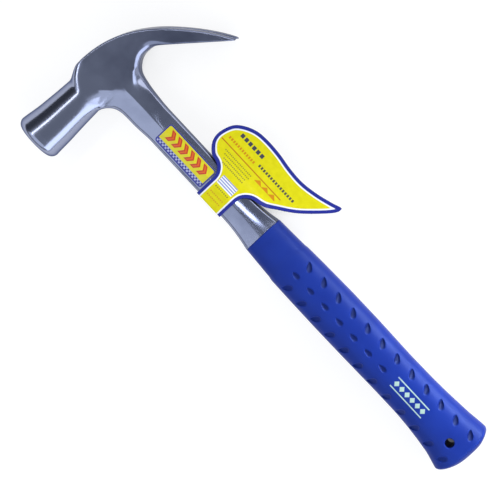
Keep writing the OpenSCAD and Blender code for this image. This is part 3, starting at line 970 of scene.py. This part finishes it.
def trim_card(x, y):
    """Grid places with those past the card's edge drawn back to it, along x only on the fold."""
    for _ in range(TRIM_ROUNDS):
        here = card_distance(x, y)
        slope_x = (card_distance(x + TRIM_REACH, y) - here) / TRIM_REACH
        slope_y = (card_distance(x, y + TRIM_REACH) - here) / TRIM_REACH
        slope_y = np.where(y < FOLDED_Y, 0.0, slope_y)
        size = np.maximum(slope_x**2 + slope_y**2, TRIM_LEAST_SLOPE)
        push = np.where(here > 0.0, here, 0.0) / size
        x = x - np.clip(push * slope_x, -TRIM_LIMIT, TRIM_LIMIT)
        y = y - np.clip(push * slope_y, -TRIM_LIMIT, TRIM_LIMIT)
    return x, y


def build_card():
    """Folded card as a sheet on a grid, cut to its outline, with the distance from its edge stored."""
    path = fold_path()
    x, row = np.meshgrid(np.arange(*CARD_GRID_X, CARD_STEP), np.arange(len(path)), indexing="ij")
    y, z = path[row, 0], path[row, 1]
    edge = card_distance(x, y)
    kept = edge < 0.0
    cells = kept[:-1, :-1] | kept[1:, :-1] | kept[:-1, 1:] | kept[1:, 1:]
    x, y = trim_card(x, y)
    number = np.arange(x.size).reshape(x.shape)
    quads = np.stack([number[:-1, :-1], number[1:, :-1], number[1:, 1:], number[:-1, 1:]], axis=-1)[cells]
    used = np.unique(quads)
    renumber = np.zeros(x.size, dtype=int)
    renumber[used] = np.arange(len(used))
    points = np.stack([x.ravel(), y.ravel(), z.ravel()], axis=1)[used]
    card = add_mesh("card", points, renumber[quads])
    stored = card.data.attributes.new("edge", "FLOAT", "POINT")
    stored.data.foreach_set("value", np.minimum(edge, 0.0).ravel()[used])
    thicken = card.modifiers.new("thickness", "SOLIDIFY")
    thicken.thickness = CARD_THICK / MM_PER_M
    thicken.offset = 0.0
    return card


# The card's print. A row of dashes has its first and last x, its y, height and pitch, the share of
# the pitch that a dash takes, its colour and how well it covers.
FINE_COVER = 0.8
FINE_COUNT = 4
FINE_INDENT = 1.5
FINE_DROP = 2.1
CARD_DASHES = [
    (100.0, 122.0, 32.3, 2.6, 3.4, 0.72, BLACK, 1.0),
    (96.0, 119.0, 26.0, 1.7, 1.9, 0.6, ORANGE, 1.0),
    (121.0, 153.0, 27.2, 1.8, 2.1, 0.62, WARM_BLACK, 1.0),
    (112.0, 123.5, 0.4, 0.9, 1.4, 0.62, OLIVE, FINE_COVER),
    (112.0, 123.5, -4.0, 0.9, 1.4, 0.62, RUST, FINE_COVER),
    (112.0, 123.5, -7.0, 0.9, 1.4, 0.62, RUST, FINE_COVER),
]
FINE_DASHES = [
    (100.0 + FINE_INDENT * i, 123.0, 19.0 - FINE_DROP * i, 0.8, 1.3, 0.6, OLIVE, FINE_COVER)
    for i in range(FINE_COUNT)
]

# A thin rule above a row of triangles.
RULE_X = (93.5, 146.0)
RULE_Y = 22.2
RULE_HALF = 0.35
PEAK_X = (126.0, 144.0)
PEAK_Y = (18.9, 21.6)
PEAK_PITCH = 6.0
PEAK_FOOT_Y = 19.6
PEAK_HALF = 2.4
PEAK_LEAN = 1.2

# A striped block on the band, and the border along the card's edge: white inside, blue outside.
BLOCK_MIDDLE = (117.5, 5.2)
BLOCK_HALF = (6.3, 3.0)
BLOCK_CORNER = 0.3
STRIPE_PITCH = 1.5
STRIPE_COVER = 0.8
WHITE_BORDER = 3.0
BLUE_BORDER = 2.1


def dashes(look, x0, x1, y, height, pitch, share):
    """A printed row of short dashes from x0 to about x1, all of them whole."""
    length = pitch * round((x1 - x0) / pitch)
    row = look.y.near(y, height / 2, DASH_EDGE)
    span = look.x.near(x0 + length / 2, length / 2, DASH_EDGE)
    step = (look.x - x0).repeat(pitch)
    return row * span * step.near(pitch / 2, pitch * share / 2, FINE_EDGE)


def tag_finish():
    look = Finish("printed_card")
    edge = look.attribute("edge")
    tone = look.noise(scale=0.3, detail=2.0)
    paint = look.ramp(tone, 0.3, CARD_YELLOW, 0.7, YELLOW)
    for *row, colour, cover in CARD_DASHES + FINE_DASHES:
        paint = look.layer(paint, colour, dashes(look, *row) * cover)
    rule = look.y.near(RULE_Y, RULE_HALF, DASH_EDGE) * look.x.within(*RULE_X, PRINT_EDGE)
    paint = look.layer(paint, RULE_ORANGE, rule)
    step = look.x.repeat(PEAK_PITCH) - PEAK_PITCH / 2
    peaks = (step.absolute() + (look.y - PEAK_FOOT_Y) * PEAK_LEAN).below(PEAK_HALF, PRINT_EDGE)
    peaks = peaks * look.x.within(*PEAK_X, PRINT_EDGE) * look.y.within(*PEAK_Y, PRINT_EDGE)
    paint = look.layer(paint, ORANGE, peaks)
    block = rounded_box(look.x - BLOCK_MIDDLE[0], look.y - BLOCK_MIDDLE[1], *BLOCK_HALF, BLOCK_CORNER)
    block = block.below(0.0, PRINT_EDGE)
    stripes = look.y.repeat(STRIPE_PITCH).below(STRIPE_PITCH / 2, FINE_EDGE)
    paint = look.layer(paint, PRINT_WHITE, block)
    paint = look.layer(paint, STRIPE_BLUE, block * stripes * STRIPE_COVER)
    paint = look.layer(paint, PRINT_WHITE, edge.above(-WHITE_BORDER, BORDER_EDGE))
    paint = look.layer(paint, PRINT_BLUE, edge.above(-BLUE_BORDER, PRINT_EDGE))
    look.set("Base Color", paint)
    look.set("Roughness", tone * 0.1 + 0.3)
    look.set("Specular IOR Level", 0.1)
    look.bump(tone, distance=0.00003, strength=0.15)
    return look.material


GLUE_DARK = (0.62, 0.58, 0.42)
GLUE_LIGHT = (0.72, 0.69, 0.55)


def glue_finish():
    look = Finish("dry_glue")
    tone = look.noise(scale=0.8, detail=3.0)
    look.set("Base Color", look.ramp(tone, 0.3, GLUE_DARK, 0.7, GLUE_LIGHT))
    look.set("Roughness", tone * 0.2 + 0.45)
    look.bump(tone, distance=0.0001, strength=0.3)
    return look.material


def dress(piece, material):
    piece.data.materials.clear()
    piece.data.materials.append(material)


# The boxes that hold the meshed pieces, and the grid's step in them.
FORGING_BOX = ((-2.0, -67.0, -17.0), (156.0, 73.0, 17.0))
FORGING_STEP = 0.6
TANG_BOX = ((150.0, -12.0, -7.0), (334.0, 12.0, 7.0))
TANG_STEP = 1.0
GRIP_BOX = ((152.0, -22.0, -15.5), (341.0, 22.0, 15.5))
GRIP_STEP = 0.5


def build_hammer():
    steel = steel_finish()
    forging_step = FORGING_STEP
    forging, _ = mesh_from_field("forging", forging_field, *FORGING_BOX, forging_step)
    dress(forging, steel)
    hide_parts("forged_head_neck_tang")
    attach(forging, "hammer")
    tang, _ = mesh_from_field("tang", tang_field, *TANG_BOX, TANG_STEP)
    dress(tang, steel)
    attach(tang, "hammer")
    grip_step = GRIP_STEP
    grip, points = mesh_from_field("grip_sleeve", grip_field, *GRIP_BOX, grip_step)
    # The dimples' depth, kept on the grip as the mask of their painted shade.
    dimple_shade_mask = grip.data.attributes.new("dimple_shade_mask", "FLOAT", "POINT")
    dimple_shade_mask.data.foreach_set("value", dimples(*points.T))
    dress(grip, grip_finish())
    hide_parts("grip")
    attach(grip, "hammer")


def build_tag():
    card = build_card()
    dress(card, tag_finish())
    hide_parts("tag_card")
    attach(card, "tag")
    dress(bpy.data.objects["tag_glue"], glue_finish())


# The photo: 500 by 499 pixels, 0.6125 mm to a pixel, the handle 47 degrees below the horizontal,
# the hammer turned a little about its handle so that the claw side shows.
MM_PER_PIXEL = 0.6125
IMAGE_WIDTH = 500
ROLL = math.radians(47.0)
TILT = math.radians(8.0)
CAMERA_DISTANCE = 3.2
SENSOR_WIDTH = 36.0
NEAREST_VIEW = 0.01

# Pixels from the hammer's zero point to the image's centre, along the handle and across it.
CENTRE_ALONG_PIXELS = 253.6
CENTRE_ACROSS_PIXELS = -20.0


def add_camera():
    """Camera at the photo's angle; returns the point that it looks at."""
    centre_x = CENTRE_ALONG_PIXELS * MM_PER_PIXEL
    centre_y = CENTRE_ACROSS_PIXELS * MM_PER_PIXEL / math.cos(TILT)
    target = Vector(to_frame((centre_x, centre_y, 0.0)))
    toward = Vector((0.0, math.sin(TILT), math.cos(TILT)))
    side = Vector((1.0, 0.0, 0.0))
    up = toward.cross(side)
    right = side * math.cos(ROLL) + up * math.sin(ROLL)
    top = toward.cross(right)
    data = bpy.data.cameras.new("camera")
    data.sensor_width = SENSOR_WIDTH
    data.sensor_fit = "HORIZONTAL"
    data.lens = SENSOR_WIDTH * CAMERA_DISTANCE / (IMAGE_WIDTH * MM_PER_PIXEL / MM_PER_M)
    data.clip_start = NEAREST_VIEW
    camera = bpy.data.objects.new("camera", data)
    turn = Matrix((right, top, toward)).transposed().to_4x4()
    camera.matrix_world = Matrix.Translation(target + toward * CAMERA_DISTANCE) @ turn
    bpy.context.scene.collection.objects.link(camera)
    bpy.context.scene.camera = camera
    return target


# The floor lies just under the hammer. The camera and reflections show it white, but for the shadow
# close under the hammer.
FLOOR_HALF = 4.0
FLOOR_Z = -0.0003
FLOOR_DARK = (0.22, 0.22, 0.22)
FLOOR_LIGHT = (0.24, 0.24, 0.24)
FLOOR_GLOW = 0.82
FLOOR_WHITE = (1.0, 1.0, 1.0, 1.0)
SHADOW_REACH = 0.03
SHADOW_LEVEL = 0.2
SHADOW_SOFT = 0.18


def add_floor():
    mesh = bpy.data.meshes.new("floor")
    corners = [(-1, -1), (1, -1), (1, 1), (-1, 1)]
    mesh.from_pydata([(a * FLOOR_HALF, b * FLOOR_HALF, FLOOR_Z) for a, b in corners], [], [(0, 1, 2, 3)])
    floor = bpy.data.objects.new("floor", mesh)
    bpy.context.scene.collection.objects.link(floor)
    look = Finish("pale_floor")
    tone = look.noise(scale=0.01, detail=2.0)
    look.set("Base Color", look.ramp(tone, 0.3, FLOOR_DARK, 0.7, FLOOR_LIGHT))
    look.set("Roughness", 0.9)
    look.set("Specular IOR Level", 0.0)
    rays = look.tree.nodes.new("ShaderNodeLightPath").outputs
    seen = Term(look.tree, rays["Is Camera Ray"])
    for ray in ("Is Glossy Ray", "Is Transmission Ray"):
        seen = seen.either(Term(look.tree, rays[ray]))
    cover = look.tree.nodes.new("ShaderNodeAmbientOcclusion")
    cover.inputs["Distance"].default_value = SHADOW_REACH
    free = Term(look.tree, cover.outputs["AO"]).above(SHADOW_LEVEL, SHADOW_SOFT)
    look.set("Emission Color", FLOOR_WHITE)
    look.set("Emission Strength", seen * free * FLOOR_GLOW)
    dress(floor, look.material)


# Light of the room: as it falls on matt surfaces, and as reflections show it, darker past the head.
ROOM_COLOUR = (0.84, 0.90, 1.0, 1.0)
ROOM_MATT = 0.5
ROOM_MIRRORED = 0.325
ROOM_DARK = 0.07
ROOM_DARK_LEVEL = -0.62
ROOM_DARK_SOFT = 0.25


def add_world():
    world = bpy.data.worlds.new("studio")
    world.use_nodes = True
    bpy.context.scene.world = world
    tree = world.node_tree
    back = tree.nodes["Background"]
    back.inputs["Color"].default_value = ROOM_COLOUR
    rays = tree.nodes.new("ShaderNodeLightPath")
    glossy = Term(tree, rays.outputs["Is Glossy Ray"])
    split = tree.nodes.new("ShaderNodeSeparateXYZ")
    tree.links.new(tree.nodes.new("ShaderNodeTexCoord").outputs["Generated"], split.inputs[0])
    lit = Term(tree, split.outputs[0]).above(ROOM_DARK_LEVEL, ROOM_DARK_SOFT)
    mirrored = lit * (ROOM_MIRRORED - ROOM_DARK) + ROOM_DARK
    strength = glossy * (mirrored - ROOM_MATT) + ROOM_MATT
    tree.links.new(strength.socket, back.inputs["Strength"])


# Lamps: a name, an azimuth from +X and a lean from the vertical in degrees, a distance and a size
# (across, and along the lean) in metres, a radiance, a colour, and where it isn't 180 degrees a spread.
WHITE = (1.0, 1.0, 1.0)
COOL = (0.86, 0.91, 1.0)
LAMPS = [
    ("poll_side_box", -90.0, 44.0, 1.3, (2.4, 1.15), 0.78, COOL),
    ("butt_side_box", 5.0, 66.0, 1.3, (2.2, 0.80), 2.3, COOL),
    ("strip", 180.0, 36.0, 1.3, (1.5, 0.12), 5.5, WHITE),
    ("claw_side_box", 100.0, 70.0, 1.3, (2.4, 0.50), 1.8, WHITE),
]
GRIP_LAMP = ("grip_side_box", 90.0, 66.0, 0.6, (0.20, 0.20), 1.9, COOL, 28.0)
GRIP_LAMP_AIM = (303.0, 12.0, 6.0)
COLLAR_LAMP = ("collar_box", 133.0, 15.0, 0.35, (0.05, 0.10), 0.2, COOL, 24.0)
COLLAR_LAMP_AIM = (141.0, 2.5, 9.0)


def softbox(target, name, azimuth, lean, distance, size, radiance, colour, spread=180.0):
    a, e = math.radians(azimuth), math.radians(lean)
    out = Vector((math.cos(a) * math.sin(e), math.sin(a) * math.sin(e), math.cos(e)))
    data = bpy.data.lights.new(name, "AREA")
    data.shape = "RECTANGLE"
    data.size, data.size_y = size
    data.energy = math.pi * radiance * size[0] * size[1]
    data.color = colour
    data.spread = math.radians(spread)
    lamp = bpy.data.objects.new(name, data)
    across = Vector((-math.sin(a), math.cos(a), 0.0))
    turn = Matrix((across, out.cross(across), out)).transposed().to_4x4()
    lamp.matrix_world = Matrix.Translation(target + out * distance) @ turn
    lamp.visible_camera = False
    bpy.context.scene.collection.objects.link(lamp)


def add_light(target):
    add_world()
    for lamp in LAMPS:
        softbox(target, *lamp)
    softbox(Vector(to_frame(GRIP_LAMP_AIM)), *GRIP_LAMP)
    softbox(Vector(to_frame(COLLAR_LAMP_AIM)), *COLLAR_LAMP)


build_hammer()
build_tag()
dress(bpy.data.objects["neck_label"], label_finish())
focus = add_camera()
add_floor()
add_light(focus)
scene = bpy.context.scene
scene.view_settings.view_transform = "Standard"
